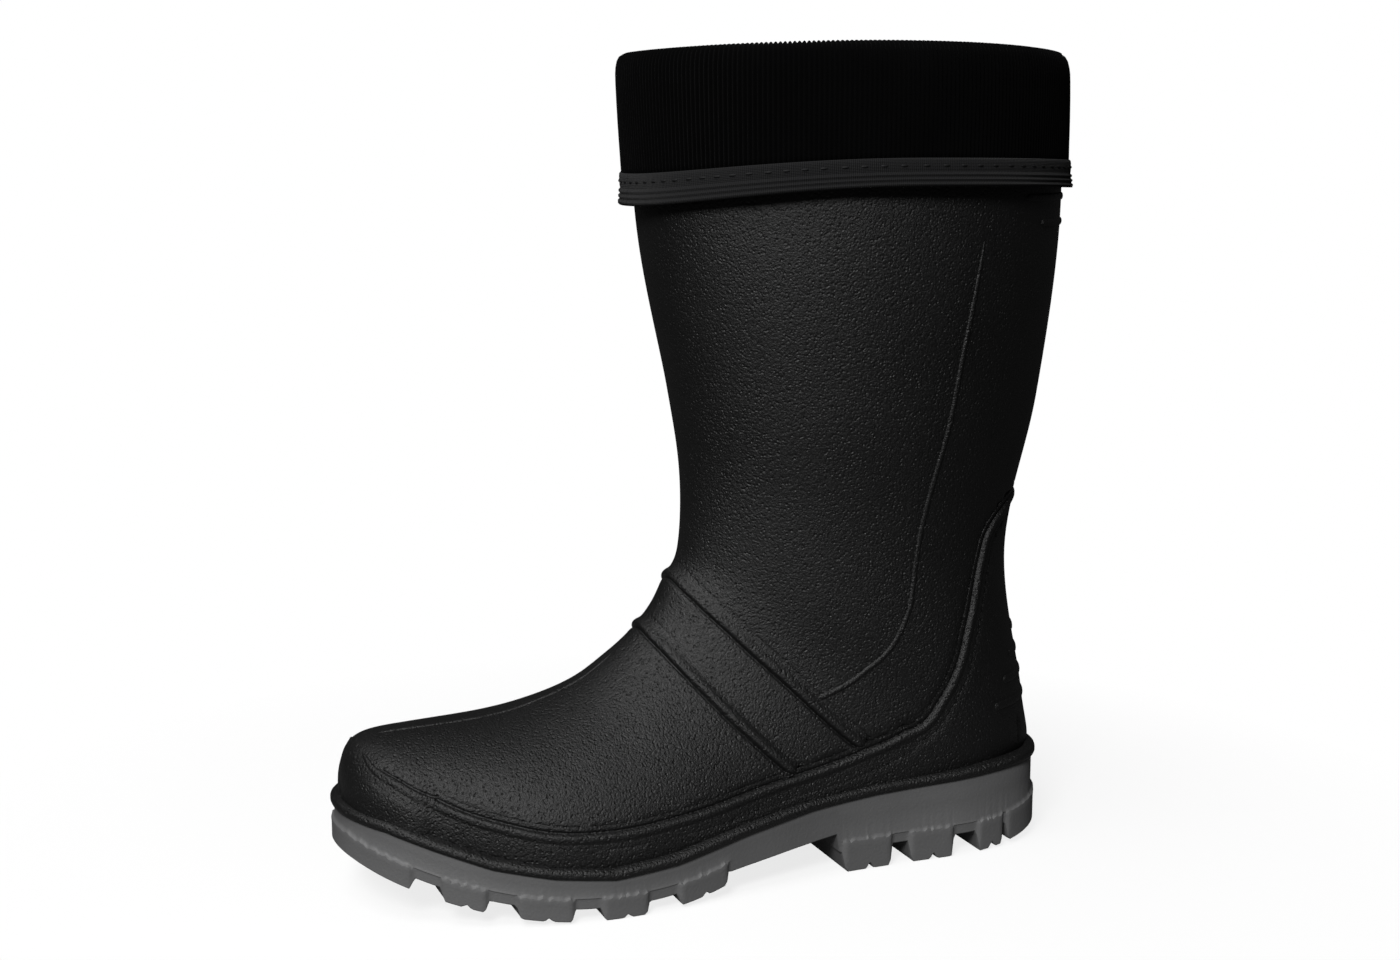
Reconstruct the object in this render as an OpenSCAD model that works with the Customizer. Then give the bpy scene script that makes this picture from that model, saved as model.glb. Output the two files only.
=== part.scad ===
// Insulated stable boot: a foam wellington with a cleated rubber outsole and a pull-out warm liner.
// Left boot, toe towards -Y, wearer's outer side towards +X, standing on Z = 0.

/* [Boot size] */
// Length of the outsole wall, heel to toe
boot_length = 294; // [264:6:318]
// Width of the outsole across the ball of the foot
boot_width = 108; // [98:1:118]
// Height of the moulded rim above the ground
rim_height = 316; // [290:2:330]

/* [Shell] */
// Thickness of the moulded foam wall
wall = 4.5; // [4:0.5:6]
// Extra foam between the wall and the foot in the sole
footbed = 4; // [2:0.5:6]
// Radius of the raised lines on the upper
bead_r = 1.4; // [1:0.1:1.8]

/* [Outsole] */
// Depth of the cleats under the forefoot
fore_cleat = 4.5; // [3:0.5:5]
// Depth of the cleats under the heel
heel_cleat = 8.5; // [6:0.5:9]
// How far the edge cleats stand proud of the side wall
cleat_proud = 1.2; // [0.5:0.1:2]

/* [Liner] */
// Running gap between shell and liner
liner_gap = 1; // [0.8:0.1:1.5]
// Thickness of the felt
felt = 4; // [3:0.5:5]
// Thickness of the seam tapes
tape = 1.2; // [0.8:0.1:1.6]
// Height of the binding on the cuff's lower edge
binding_h = 10.5; // [8:0.5:12]
// Height of the corduroy skirt above the binding
skirt_h = 40; // [30:1:42]

/* [Hidden] */

// The boot is a bent tube of sections, numbered from the rim down the leg and along the foot.
// Each row: front point (s, z), back or bottom point (s, z), half-width on the outer side, on the
// inner side, height of the widest place as a share, roundness above it, roundness below it.
// s runs forward from the back of the heel.
SECTIONS = [
    [176.5, 316, -2.2, 316, 66, 66, 0.50, 2.1, 2.1],
    [171.5, 250, -2.6, 250, 64, 64, 0.50, 2.1, 2.1],
    [160, 190, 3.6, 184, 55, 55, 0.50, 2.1, 2.0],
    [155.5, 156, 16, 120, 46, 46, 0.48, 2.1, 2.0],
    [157, 126.5, 6, 58, 43, 43, 0.44, 2.1, 2.0],
    [164, 114, 5, 32, 41, 40, 0.40, 2.1, 2.3],
    [169.5, 104, 30, 22, 41, 39, 0.34, 2.1, 3.2],
    [178.5, 94, 72, 21, 42, 39, 0.28, 2.0, 4.0],
    [189, 85.3, 115, 20, 45, 40, 0.24, 2.0, 4.0],
    [201, 77.2, 160, 14, 52, 45, 0.24, 1.9, 4.0],
    [217, 71.2, 200, 9, 56, 48, 0.27, 1.9, 4.0],
    [237, 67, 232, 11, 53, 47, 0.30, 2.0, 4.0],
    [269, 65, 270, 22, 37.5, 35.5, 0.38, 2.1, 3.4]];
last = len(SECTIONS) - 1;
toe_s = 295.5;          // tip of the moulded toe
centre_s = 145;          // the s of the origin, half way along the whole object
around = 28;            // points round a section
foot_from = 5;          // section where the footbed begins
ankle = 3;              // the narrowest section, where leg and foot felt are joined

// Outline of the outsole seen from above, points (x, s) joined by a smooth curve.
OUTLINE = [[0, 3.5], [20, 7], [34, 19], [41, 45], [42, 80], [44, 112], [50, 145], [56, 178], [58, 208],
           [54, 237], [44, 264], [31, 284], [15, 294.5], [0, 297.5], [-16, 294.5], [-32, 284], [-42, 264],
           [-48, 237], [-50, 208], [-47, 175], [-41, 140], [-38, 105], [-40, 70], [-40, 40],
           [-33, 18], [-19, 7]];
// Upper edge of the outsole from the side, points (s, z).
SOLE_TOP = [[-6, 35], [20, 34], [55, 32], [90, 30.5], [120, 28], [150, 23.5], [180, 17.5],
            [205, 15.5], [228, 18], [250, 22.5], [270, 29.5], [285, 35], [306, 38]];
// Raised lines of the upper, points (section, angle in degrees from the front over either side).
FOXING = [[12.56, 25], [12.48, 46], [12.3, 59], [12.05, 72], [11.7, 79.5], [11.1, 81], [10.3, 82],
          [9.3, 84.2], [8.2, 86.5], [7.1, 87.3], [6.4, 88], [5.6, 90.5], [4.9, 95], [4.35, 101.5],
          [3.8, 111.5], [3.4, 121.5], [3.1, 128.5], [2.9, 133], [2.75, 142], [2.66, 155], [2.6, 180]];
BAND_UPPER = [[4.66, 0], [5.12, 28], [5.64, 46.5], [6.1, 64.5], [6.42, 79.5], [6.5, 86.5]];
BAND_LOWER = [[6.58, 0], [6.95, 32], [7.32, 55], [7.53, 76], [7.58, 85.5]];
CALF_LINE = [[1, 107.3], [1.76, 103.4], [2.72, 99.6], [3.34, 93.8], [3.92, 85], [4.72, 76.3], [6.04, 68]];
TOE_RIDGE = [[12.3, 1.5], [10.8, 2], [9.4, 1], [7.9, 1.5]];
// Grip ribs round the heel and bars under the cuff, (height, angle where each ends).
HEEL_RIBS = [[58.5, 125], [68.5, 134], [78, 144], [87.5, 151], [97, 156]];
LEG_BARS = [[265.5, 124], [255.5, 133]];
SLOT = [4.64, 140];     // place of the short upright slot beside the heel ribs

// Cleats under the edge, (from s, to s, distance of the inner end from the centre line).
FORE_CLEATS = [[158, 179, 28], [192, 210, 32], [221, 241, 32], [252, 267, 26], [277, 304, 0]];
HEEL_CLEATS = [[83, 104.5, 0], [55, 74.5, 18], [30.5, 43, 18], [-4, 28, 0]];
FORE_BARS = [168, 186, 204, 222, 240, 258];
HEEL_BARS = [46, 66];
ball_s = 200;           // where the forefoot touches the ground
breast_s = 110;         // front of the heel
waist_s = 157;          // front end of the arch

kx = boot_width / 108;
ky = boot_length / 294;
kz = rim_height / 316;

function mix(a, b, t) = a + (b - a) * t;
function ease(a, b, v) = let (t = min(1, max(0, (v - a) / (b - a)))) t * t * (3 - 2 * t);
function spline(p0, p1, p2, p3, t) = 0.5 * (2 * p1 + (p2 - p0) * t
    + (2 * p0 - 5 * p1 + 4 * p2 - p3) * t * t + (3 * p1 - p0 - 3 * p2 + p3) * t * t * t);
function wrapped(list, i) = list[(i + len(list)) % len(list)];

// The section at place u, with both ends of the table carried on in a straight line.
function table_row(i) = i < 0 ? 2 * SECTIONS[0] - SECTIONS[1]
    : i > last ? 2 * SECTIONS[last] - SECTIONS[last - 1] : SECTIONS[i];
function section(u) = let (i = min(floor(u), last - 1))
    spline(table_row(i - 1), table_row(i), table_row(i + 1), table_row(i + 2), u - i);

// Unit vector across the line from a to b, turned to the left of it.
function across(a, b) = [a.y - b.y, b.x - a.x] / norm(b - a);

// The same section with its skin moved inwards by d.
function inner_section(u, d) =
    let (c = section(u), a = section(max(0, u - 0.05)), b = section(min(last, u + 0.05)),
         nf = -across([a[0], a[1]], [b[0], b[1]]), nb = across([a[2], a[3]], [b[2], b[3]]),
         under = d > 0 ? d + footbed * ease(foot_from, foot_from + 2, u) : d)
    [c[0] + d * nf.x, c[1] + d * nf.y, c[2] + under * nb.x, c[3] + under * nb.y,
     c[4] - d, c[5] - d, c[6], c[7], c[8]];

// Past the last section the toe closes as a rounded end.
function toe_section(t, d) =
    let (c = inner_section(last, d), k = sin(88.5 * t), s = mix(c[0], toe_s - d, k),
         wide = sqrt(1 - k * k), high = pow(1 - pow(k, 5), 0.25), zm = mix(c[3], c[1], 0.35))
    [s, zm + (c[1] - 1.5 * k - zm) * high, s, zm - (zm - c[3] - 4 * k) * high,
     c[4] * wide, c[5] * wide, c[6], c[7], c[8]];
function any_section(u, d) = u > last ? toe_section(u - last, d) : inner_section(u, d);

// A point of the skin: a is the angle from the front over the outer side, d the depth below it.
function shape(c, a) =
    let (p = 2 / (cos(a) >= 0 ? c[7] : c[8]), q = pow(abs(cos(a)), p), w = pow(abs(sin(a)), p),
         h = cos(a) >= 0 ? c[6] + (1 - c[6]) * q : c[6] * (1 - q))
    [kx * (sin(a) >= 0 ? c[4] : -c[5]) * w,
     ky * (centre_s - mix(c[2], c[0], h)),
     kz * mix(c[3], c[1], h)];
function skin(u, a, d) = shape(any_section(u, d), a);

function turn(n) = [for (i = [0 : n - 1]) 360 * i / n];
function steps(a, b, n) = [for (i = [0 : n]) mix(a, b, i / n)];
function between(list, a, b) = concat([a], [for (v = list) if (v > a + 0.02 && v < b - 0.02) v], [b]);
RINGS = concat(steps(0, 3, 6), steps(3.33, last, 27), steps(last + 0.18, last + 1, 6));

// Two triangles for each cell of a grid of points, rows of n, flipped for an inner side.
function cell(a, b, c, d, flip) = flip ? [[a, c, b], [b, c, d]] : [[a, b, c], [b, d, c]];
function grid(rows, n, first, flip, closed) =
    [for (i = [0 : rows - 2], j = [0 : closed ? n - 1 : n - 2])
        let (k = first + i * n, m = (j + 1) % n) each cell(k + j, k + m, k + n + j, k + n + m, flip)];

// A tube of felt or tape between two depths, open at both ends.
module sleeve(us, outer, inner) {
    n = around;
    rows = len(us);
    second = rows * n;
    end = (rows - 1) * n;
    points = [for (d = [outer, inner], u = us, a = turn(n)) skin(u, a, d)];
    faces = concat(
        grid(rows, n, 0, false, true), grid(rows, n, second, true, true),
        [for (j = [0 : n - 1]) let (m = (j + 1) % n) each cell(j, m, second + j, second + m, true)],
        [for (j = [0 : n - 1]) let (m = (j + 1) % n)
            each cell(end + j, end + m, second + end + j, second + end + m, false)]);
    polyhedron(points, faces);
}

// The whole boot as one solid at depth d, lifted at the rim by raise.
module last_solid(d, raise) {
    n = around;
    rows = len(RINGS) + 1;
    end = (rows - 1) * n;
    tip = rows * n;
    points = concat(
        [for (a = turn(n)) skin(0, a, d) + [0, 0, raise]],
        [for (u = RINGS, a = turn(n)) skin(u, a, d)],
        [(skin(last + 1, 0, d) + skin(last + 1, 180, d)) / 2]);
    faces = concat(
        grid(rows, n, 0, false, true),
        [[for (j = [n - 1 : -1 : 0]) j]],
        [for (j = [0 : n - 1]) [end + j, end + (j + 1) % n, tip]]);
    polyhedron(points, faces);
}

// A panel between two angles, which may change along the boot.
module panel(us, from, to, outer, inner, n) {
    rows = len(us);
    second = rows * n;
    points = [for (d = [outer, inner], i = [0 : rows - 1], j = [0 : n - 1])
        skin(us[i], mix(from[i], to[i], j / (n - 1)), d)];
    faces = concat(
        grid(rows, n, 0, false, false), grid(rows, n, second, true, false),
        [for (j = [0 : n - 2]) each cell(j, j + 1, second + j, second + j + 1, true)],
        [for (j = [0 : n - 2]) let (e = (rows - 1) * n + j)
            each cell(e, e + 1, second + e, second + e + 1, false)],
        [for (i = [0 : rows - 2]) let (e = i * n) each cell(e, e + n, second + e, second + e + n, false)],
        [for (i = [0 : rows - 2]) let (e = i * n + n - 1)
            each cell(e, e + n, second + e, second + e + n, true)]);
    polyhedron(points, faces);
}

// A strip panel of constant width, w degrees wide.
module strip(us, middle, w, outer, inner) {
    panel(us, [for (m = middle) m - w / 2], [for (m = middle) m + w / 2], outer, inner, 3);
}
function same(us, v) = [for (u = us) v];

// A smooth line through points (section, angle), n pieces to each of its spans.
function traced(path, n) = [for (i = [0 : n * (len(path) - 1)])
    let (k = min(floor(i / n), len(path) - 2), t = i / n - k, p1 = path[k], p2 = path[k + 1],
         p0 = k > 0 ? path[k - 1] : 2 * p1 - p2, p3 = k + 2 < len(path) ? path[k + 2] : 2 * p2 - p1)
    spline(p0, p1, p2, p3, t)];

// A path that starts on the centre line, carried on over the other side of the boot.
function mirrored(path) = let (c = path[0][1])
    concat([for (i = [len(path) - 1 : -1 : 1]) [path[i][0], 2 * c - path[i][1]]], path);

// A raised bead half sunk in the skin along a path, n pieces to each of its spans.
module bead(path, r, n) {
    line = traced(path, n);
    for (i = [0 : len(line) - 2]) hull() for (p = [line[i], line[i + 1]])
        translate(skin(p[0], p[1], -0.2)) sphere(r = r, $fn = 6);
}

// A bead round the back at one height, as far as an angle on either side.
function at_height(z, a, low, high, n) = let (m = (low + high) / 2)
    n == 0 ? m : skin(m, a, 0).z > z ? at_height(z, a, m, high, n - 1) : at_height(z, a, low, m, n - 1);
module level_bead(z, end, low, high) {
    bead(mirrored([for (a = [180, (180 + end) / 2, end]) [at_height(kz * z, a, low, high, 14), a]]),
         bead_r, 1);
}

function model_y(s) = ky * (centre_s - s);
// The outline without the points that lie on a straight stretch.
function bends(p) = [for (i = [0 : len(p) - 1])
    let (a = p[i] - wrapped(p, i - 1), b = wrapped(p, i + 1) - p[i])
    if (abs(a.x * b.y - a.y * b.x) > 0.001) p[i]];
module from_the_side(points) {
    rotate([90, 0, 90]) linear_extrude(height = 160, center = true)
        polygon(bends([for (p = points) [model_y(p[0]), kz * p[1]]]));
}
module plan(grow) {
    n = len(OUTLINE);
    offset(r = grow) polygon([for (i = [0 : n - 1], t = [0, 0.33, 0.67])
        let (p = spline(wrapped(OUTLINE, i - 1), OUTLINE[i], wrapped(OUTLINE, i + 1),
                        wrapped(OUTLINE, i + 2), t))
        [kx * p.x, model_y(p.y)]]);
}
module standing(grow) {
    linear_extrude(height = 60) plan(grow);
}

// Heights along the sole: upper edge, ground line with toe spring and heel bevel, and cleat roots.
function sole_top(s) = lookup(s, SOLE_TOP);
function ground(s) =
    s > ball_s ? 0.0027 * pow(max(0, s - ball_s - 6), 2)
    : s > breast_s ? 0.0042 * pow(max(0, ball_s - 6 - s), 2)
    : 0.0035 * pow(max(0, 50 - s), 2);
function roots(s) =
    s > waist_s ? ground(s) + fore_cleat
    : s > breast_s ? mix(15.4, 9.6, (s - breast_s) / (waist_s - breast_s))
    : ground(s) + heel_cleat;

module sole_body() {
    n = 52;
    line = steps(-6.4, 306.3, n);
    intersection() {
        standing(0);
        from_the_side(concat([for (s = line) [s, roots(s)]],
                             [for (i = [n : -1 : 0]) [line[i], sole_top(line[i])]]));
    }
}

// One cleat with rounded corners, from x0 to x1 across and s0 to s1 along, its ends swept by lean.
module cleat(x0, x1, s0, s1, lean) {
    r = 1.5;
    hull() for (p = [[x0, s0 + r], [x0, s1 - r], [x1, s0 + r + lean], [x1, s1 - r + lean]])
        translate([kx * p.x, model_y(p.y), -1]) cylinder(r = r, h = 40, $fn = 12);
}
// Cleats from place a to place b: blocks at both edges and bars across the middle.
module cleats(blocks, bars, reach, lean, depth, a, b) {
    n = 20;
    line = steps(a, b, n);
    intersection() {
        standing(cleat_proud);
        from_the_side(concat([for (s = line) [s, ground(s)]],
                             [for (i = [n : -1 : 0]) [line[i], ground(line[i]) + depth + 4]]));
        union() {
            for (c = blocks, side = [-1, 1]) cleat(side * c[2], side * 66, c[0], c[1], 0);
            for (s = bars, side = [-1, 1]) cleat(0, side * reach, s, s + 8, lean);
        }
    }
}

module boot_shell() {
    depth = 3;
    n = 54;
    line = steps(-12.7, 311.9, n);
    color("#1b1b1c") difference() {
        union() {
            last_solid(0, 0);
            // lip that covers the joint with the outsole
            intersection() {
                standing(cleat_proud);
                from_the_side(concat([for (s = line) [s, sole_top(s)]],
                                     [for (i = [n : -1 : 0]) [line[i], sole_top(line[i]) + depth]]));
            }
            for (side = [-1, 1], path = [FOXING, CALF_LINE])
                bead([for (p = path) [p[0], side * p[1]]], bead_r, 1);
            for (path = [BAND_UPPER, BAND_LOWER]) bead(mirrored(path), 1.4 * bead_r, 2);
            bead(TOE_RIDGE, bead_r, 2);
            for (rib = HEEL_RIBS) level_bead(rib[0], rib[1], 2.6, 5.6);
            for (bar = LEG_BARS) level_bead(bar[0], bar[1], 0.3, 1.6);
        }
        for (side = [-1, 1]) translate(skin(SLOT[0], side * SLOT[1], 0)) rotate([0, 0, side * 40])
            cube([1.7, 2.2, 11], center = true);
        last_solid(wall, 5);
    }
}

module outsole() {
    color("#5b5b5c") difference() {
        union() {
            sole_body();
            cleats(FORE_CLEATS, FORE_BARS, 22, -7, fore_cleat, 151.3, 307.7);
            cleats(HEEL_CLEATS, HEEL_BARS, 12, -4, heel_cleat, -7.3, 109.1);
        }
        last_solid(0, 0);
    }
}

// Depths of the felt below the shell's skin.
felt_out = wall + liner_gap;
felt_in = felt_out + felt;
tape_out = felt_in + 0.8;
tape_in = tape_out + tape;
leg_rings = steps(0.25, ankle - 0.02, 11);
leg_tape_rings = between(leg_rings, 0.38, ankle - 0.02);
sole_from = foot_from + 0.6;
// Angle of the edge of the felt sole, running in from the back seam and along both sides.
function edge_angle(u) = mix(178, 118, ease(sole_from - 0.1, foot_from + 2, u));
upper_rings = between(RINGS, ankle + 0.03, last + 0.94);
sole_rings = between(RINGS, sole_from, last + 0.94);
split = 0.5;            // half the angle between two panels at a seam

module leg_half(from, to) {
    panel(leg_rings, same(leg_rings, from), same(leg_rings, to), felt_out, felt_in, 15);
}
module liner_leg_lateral() { color("#cfcabd") leg_half(split, 180 - split); }
module liner_leg_medial() { color("#cfcabd") leg_half(180 + split, 360 - split); }
module foot_half(side) {
    near = [for (u = upper_rings) side > 0 ? split : 360 - edge_angle(u) + split];
    far = [for (u = upper_rings) side > 0 ? edge_angle(u) - split : 360 - split];
    panel(upper_rings, near, far, felt_out, felt_in, 11);
}
module liner_foot_lateral() { color("#cfcabd") foot_half(1); }
module liner_foot_medial() { color("#cfcabd") foot_half(-1); }
module liner_sole() {
    color("#b9b4a6") panel(sole_rings, [for (u = sole_rings) edge_angle(u) + split],
        [for (u = sole_rings) 360 - edge_angle(u) - split], felt_out, felt_in, 8);
}
module leg_seam(a) {
    color("#8d897e") strip(leg_tape_rings, same(leg_tape_rings, a), 8, tape_out, tape_in);
}
module leg_front_seam() { leg_seam(0); }
module leg_back_seam() { leg_seam(180); }
module ankle_seam() {
    color("#8d897e") sleeve([ankle - 0.1, ankle, ankle + 0.14], tape_in + 0.3, tape_in + 0.3 + tape);
}
module instep_seam() {
    us = between(RINGS, ankle + 0.2, last + 0.9);
    color("#8d897e") strip(us, same(us, 0), 8, tape_out, tape_in);
}
module heel_seam() {
    us = between(RINGS, ankle + 0.2, foot_from + 0.2);
    color("#8d897e") strip(us, same(us, 180), 8, tape_out, tape_in);
}
module sole_seam() {
    us = between(RINGS, foot_from + 1, last + 0.9);
    color("#8d897e") for (side = [-1, 1])
        strip(us, [for (u = us) side * edge_angle(u)], 6, tape_out, tape_in);
}

// A closed ring round the rim: the profile's points are (distance out from the rim's skin, height).
rim_sides = 40;
skirt_top = rim_height + 5;
binding_top = skirt_top - skirt_h;
binding_foot = binding_top - binding_h;
front_drop = 5;         // how much lower the skirt hangs at the front
function hang(a, z) = z < rim_height
    ? z - front_drop * pow(max(0, cos(a)), 2) * (rim_height - z) / (rim_height - binding_foot) : z;
function rim_point(a, out, z) = let (p = skin(0, a, -out)) [p.x, p.y, out > 0 ? hang(a, z) : z];
module rim_ring(profile) {
    n = rim_sides;
    m = len(profile);
    points = [for (a = turn(n), p = profile) rim_point(a, p[0], p[1])];
    faces = [for (i = [0 : n - 1], j = [0 : m - 1])
        let (k = i * m, l = ((i + 1) % n) * m, h = (j + 1) % m)
        each cell(k + j, k + h, l + j, l + h, true)];
    polyhedron(points, faces);
}
module cuff() {
    z = skirt_top;
    low = rim_height - 15.5;
    in = -felt_in;
    color("#0f0f10") rim_ring([
        [in - 1.2, low], [in, z - 6], [in + 1.5, z - 2], [in + 5, z], [-1, z], [3, z - 1.2], [4.6, z - 5],
        [4.8, z - 12], [4.8, binding_top], [1.2, binding_top], [1.2, z - 8], [0.2, z - 4],
        [-wall - 0.2, z - 4], [-felt_out, z - 7], [-felt_out - 1.2, low]]);
}
module cuff_join_seam() {
    out = -felt_in - 2;
    in = out - tape;
    color("#8d897e") rim_ring([[out, rim_height - 22], [in, rim_height - 22],
                               [in, rim_height - 9], [out, rim_height - 9]]);
}
module cuff_binding() {
    z = binding_top - 0.3;
    color("#2b2b2c") rim_ring([
        [1.2, z], [5.2, z], [5.2, z - 5], [5.9, z - 6], [6.2, z - 8.5], [6.6, binding_foot],
        [1.4, binding_foot]]);
}
// Running stitches through the flat upper half of the binding.
module cuff_stitching() {
    count = 78;
    color("#101010") for (i = [0 : count - 1]) {
        a = 360 * (i + 0.5) / count;
        p = rim_point(a, 5.2, binding_top - 2.6);
        q = rim_point(a + 1, 5.2, binding_top - 2.6) - rim_point(a - 1, 5.2, binding_top - 2.6);
        translate(p) rotate([0, 0, atan2(q.y, q.x)]) cube([3.6, 0.9, 0.8], center = true);
    }
}

boot_shell();
outsole();
liner_leg_lateral();
liner_leg_medial();
liner_foot_lateral();
liner_foot_medial();
liner_sole();
leg_front_seam();
leg_back_seam();
ankle_seam();
instep_seam();
heel_seam();
sole_seam();
cuff();
cuff_join_seam();
cuff_binding();
cuff_stitching();
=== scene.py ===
import math

import bpy
import numpy as np
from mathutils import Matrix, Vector
from mathutils.kdtree import KDTree


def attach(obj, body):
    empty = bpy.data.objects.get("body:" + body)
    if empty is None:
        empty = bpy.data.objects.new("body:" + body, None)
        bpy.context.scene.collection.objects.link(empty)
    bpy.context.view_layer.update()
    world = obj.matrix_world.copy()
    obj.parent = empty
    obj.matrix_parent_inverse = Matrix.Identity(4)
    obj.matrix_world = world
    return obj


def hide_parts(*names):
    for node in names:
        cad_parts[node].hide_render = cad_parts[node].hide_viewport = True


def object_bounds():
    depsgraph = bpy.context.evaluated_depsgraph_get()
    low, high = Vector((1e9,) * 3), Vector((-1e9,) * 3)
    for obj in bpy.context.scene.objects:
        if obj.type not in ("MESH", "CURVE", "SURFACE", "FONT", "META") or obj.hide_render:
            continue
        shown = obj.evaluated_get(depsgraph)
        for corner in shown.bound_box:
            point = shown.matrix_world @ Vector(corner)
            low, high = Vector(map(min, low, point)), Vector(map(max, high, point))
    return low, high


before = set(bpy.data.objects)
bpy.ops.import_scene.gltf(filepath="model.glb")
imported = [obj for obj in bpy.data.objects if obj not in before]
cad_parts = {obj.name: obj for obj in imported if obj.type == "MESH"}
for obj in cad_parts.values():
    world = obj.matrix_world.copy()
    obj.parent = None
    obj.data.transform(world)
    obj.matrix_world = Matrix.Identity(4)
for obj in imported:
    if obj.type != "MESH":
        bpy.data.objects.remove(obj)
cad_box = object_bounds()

MM = 0.001

# ---------------------------------------------------------------- the last, as the CAD part has it
# Front point (s, z), back or bottom point (s, z), half-width outside, inside, height of the widest
# place as a share, roundness above it, roundness below it.
SECTIONS = np.array([
    [176.5, 316, -2.2, 316, 66, 66, 0.50, 2.1, 2.1],
    [171.5, 250, -2.6, 250, 64, 64, 0.50, 2.1, 2.1],
    [160, 190, 3.6, 184, 55, 55, 0.50, 2.1, 2.0],
    [155.5, 156, 16, 120, 46, 46, 0.48, 2.1, 2.0],
    [157, 126.5, 6, 58, 43, 43, 0.44, 2.1, 2.0],
    [164, 114, 5, 32, 41, 40, 0.40, 2.1, 2.3],
    [169.5, 104, 30, 22, 41, 39, 0.34, 2.1, 3.2],
    [178.5, 94, 72, 21, 42, 39, 0.28, 2.0, 4.0],
    [189, 85.3, 115, 20, 45, 40, 0.24, 2.0, 4.0],
    [201, 77.2, 160, 14, 52, 45, 0.24, 1.9, 4.0],
    [217, 71.2, 200, 9, 56, 48, 0.27, 1.9, 4.0],
    [237, 67, 232, 11, 53, 47, 0.30, 2.0, 4.0],
    [269, 65, 270, 22, 37.5, 35.5, 0.38, 2.1, 3.4]], float)
LAST = len(SECTIONS) - 1
TOE_S = 295.5
CENTRE_S = 145.0
RIM_Z = 316.0
WALL = 4.5
FOOTBED = 4.0
OUTLINE = np.array([
    [0, 3.5], [20, 7], [34, 19], [41, 45], [42, 80], [44, 112], [50, 145], [56, 178], [58, 208],
    [54, 237], [44, 264], [31, 284], [15, 294.5], [0, 297.5], [-16, 294.5], [-32, 284], [-42, 264],
    [-48, 237], [-50, 208], [-47, 175], [-41, 140], [-38, 105], [-40, 70], [-40, 40],
    [-33, 18], [-19, 7]], float)
SOLE_TOP = np.array([
    [-6, 35], [20, 34], [55, 32], [90, 30.5], [120, 28], [150, 23.5], [180, 17.5], [205, 15.5],
    [228, 18], [250, 22.5], [270, 29.5], [285, 35], [306, 38]], float)
FOXING = [
    [12.56, 25], [12.48, 46], [12.3, 59], [12.05, 72], [11.7, 79.5], [11.1, 81], [10.3, 82],
    [9.3, 84.2], [8.2, 86.5], [7.1, 87.3], [6.4, 88], [5.6, 90.5], [4.9, 95], [4.35, 101.5],
    [3.8, 111.5], [3.4, 121.5], [3.1, 128.5], [2.9, 133], [2.75, 142], [2.66, 155], [2.6, 180]]
BAND_UPPER = [[4.66, 0], [4.88, 17], [5.12, 28], [5.36, 37.5], [5.64, 46.5], [5.9, 56.5],
              [6.1, 64.5], [6.27, 72], [6.4, 79.5], [6.46, 85]]
BAND_LOWER = [[6.58, 0], [6.76, 19.5], [6.95, 32], [7.15, 44], [7.32, 55], [7.44, 65.5],
              [7.53, 76], [7.57, 84]]
CALF_LINE = [[1, 107.3], [1.34, 105.5], [1.76, 103.4], [2.24, 101.7], [2.72, 99.6], [3.05, 97.2],
             [3.34, 93.8], [3.64, 89.3], [3.92, 85], [4.28, 80.5], [4.72, 76.3], [5.4, 71.7],
             [6.04, 68]]
CAP_LINE = [[3.1, 180], [3.15, 165], [3.3, 150], [3.66, 132], [3.86, 126.5], [4.14, 120.5],
            [4.56, 113.5], [5.1, 106.5], [5.54, 102.3], [6, 99.7], [6.35, 99.3], [6.78, 101]]
TOE_RIDGE = [[12.3, 1.5], [11.6, 2.5], [10.8, 2], [9.4, 1], [7.9, 1.5]]
# Heights of the grip ribs on the heel and of the bars under the cuff, with the s where each ends.
HEEL_RIBS = [[58.5, 34.5], [68.5, 29], [78, 23.5], [87.5, 19], [97, 15]]
LEG_BARS = [[265.5, 36], [255.5, 26]]
SLOT = [4.64, 140]
FORE_CLEATS = [[158, 179, 28], [192, 210, 32], [221, 241, 32], [252, 267, 26], [277, 304, 0]]
HEEL_CLEATS = [[83, 104.5, 0], [55, 74.5, 18], [30.5, 43, 18], [-4, 28, 0]]
FORE_BARS = [168, 186, 204, 222, 240, 258]
HEEL_BARS = [46, 66]


def mix(a, b, t):
    return a + (b - a) * t


def ease(a, b, v):
    t = np.clip((v - a) / (b - a), 0, 1)
    return t * t * (3 - 2 * t)


def spline(table, u):
    """Points of a smooth curve through the table's rows, u counted in rows."""
    rows = np.vstack([2 * table[0] - table[1], table, 2 * table[-1] - table[-2]])
    i = np.clip(np.floor(u).astype(int), 0, len(table) - 2)
    t = (u - i)[..., None]
    p0, p1, p2, p3 = (rows[i + k] for k in range(4))
    return 0.5 * (2 * p1 + (p2 - p0) * t + (2 * p0 - 5 * p1 + 4 * p2 - p3) * t ** 2
                  + (3 * p1 - p0 - 3 * p2 + p3) * t ** 3)


def left_of(a, b):
    v = b - a
    return np.stack([-v[..., 1], v[..., 0]], -1) / np.linalg.norm(v, axis=-1)[..., None]


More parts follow.
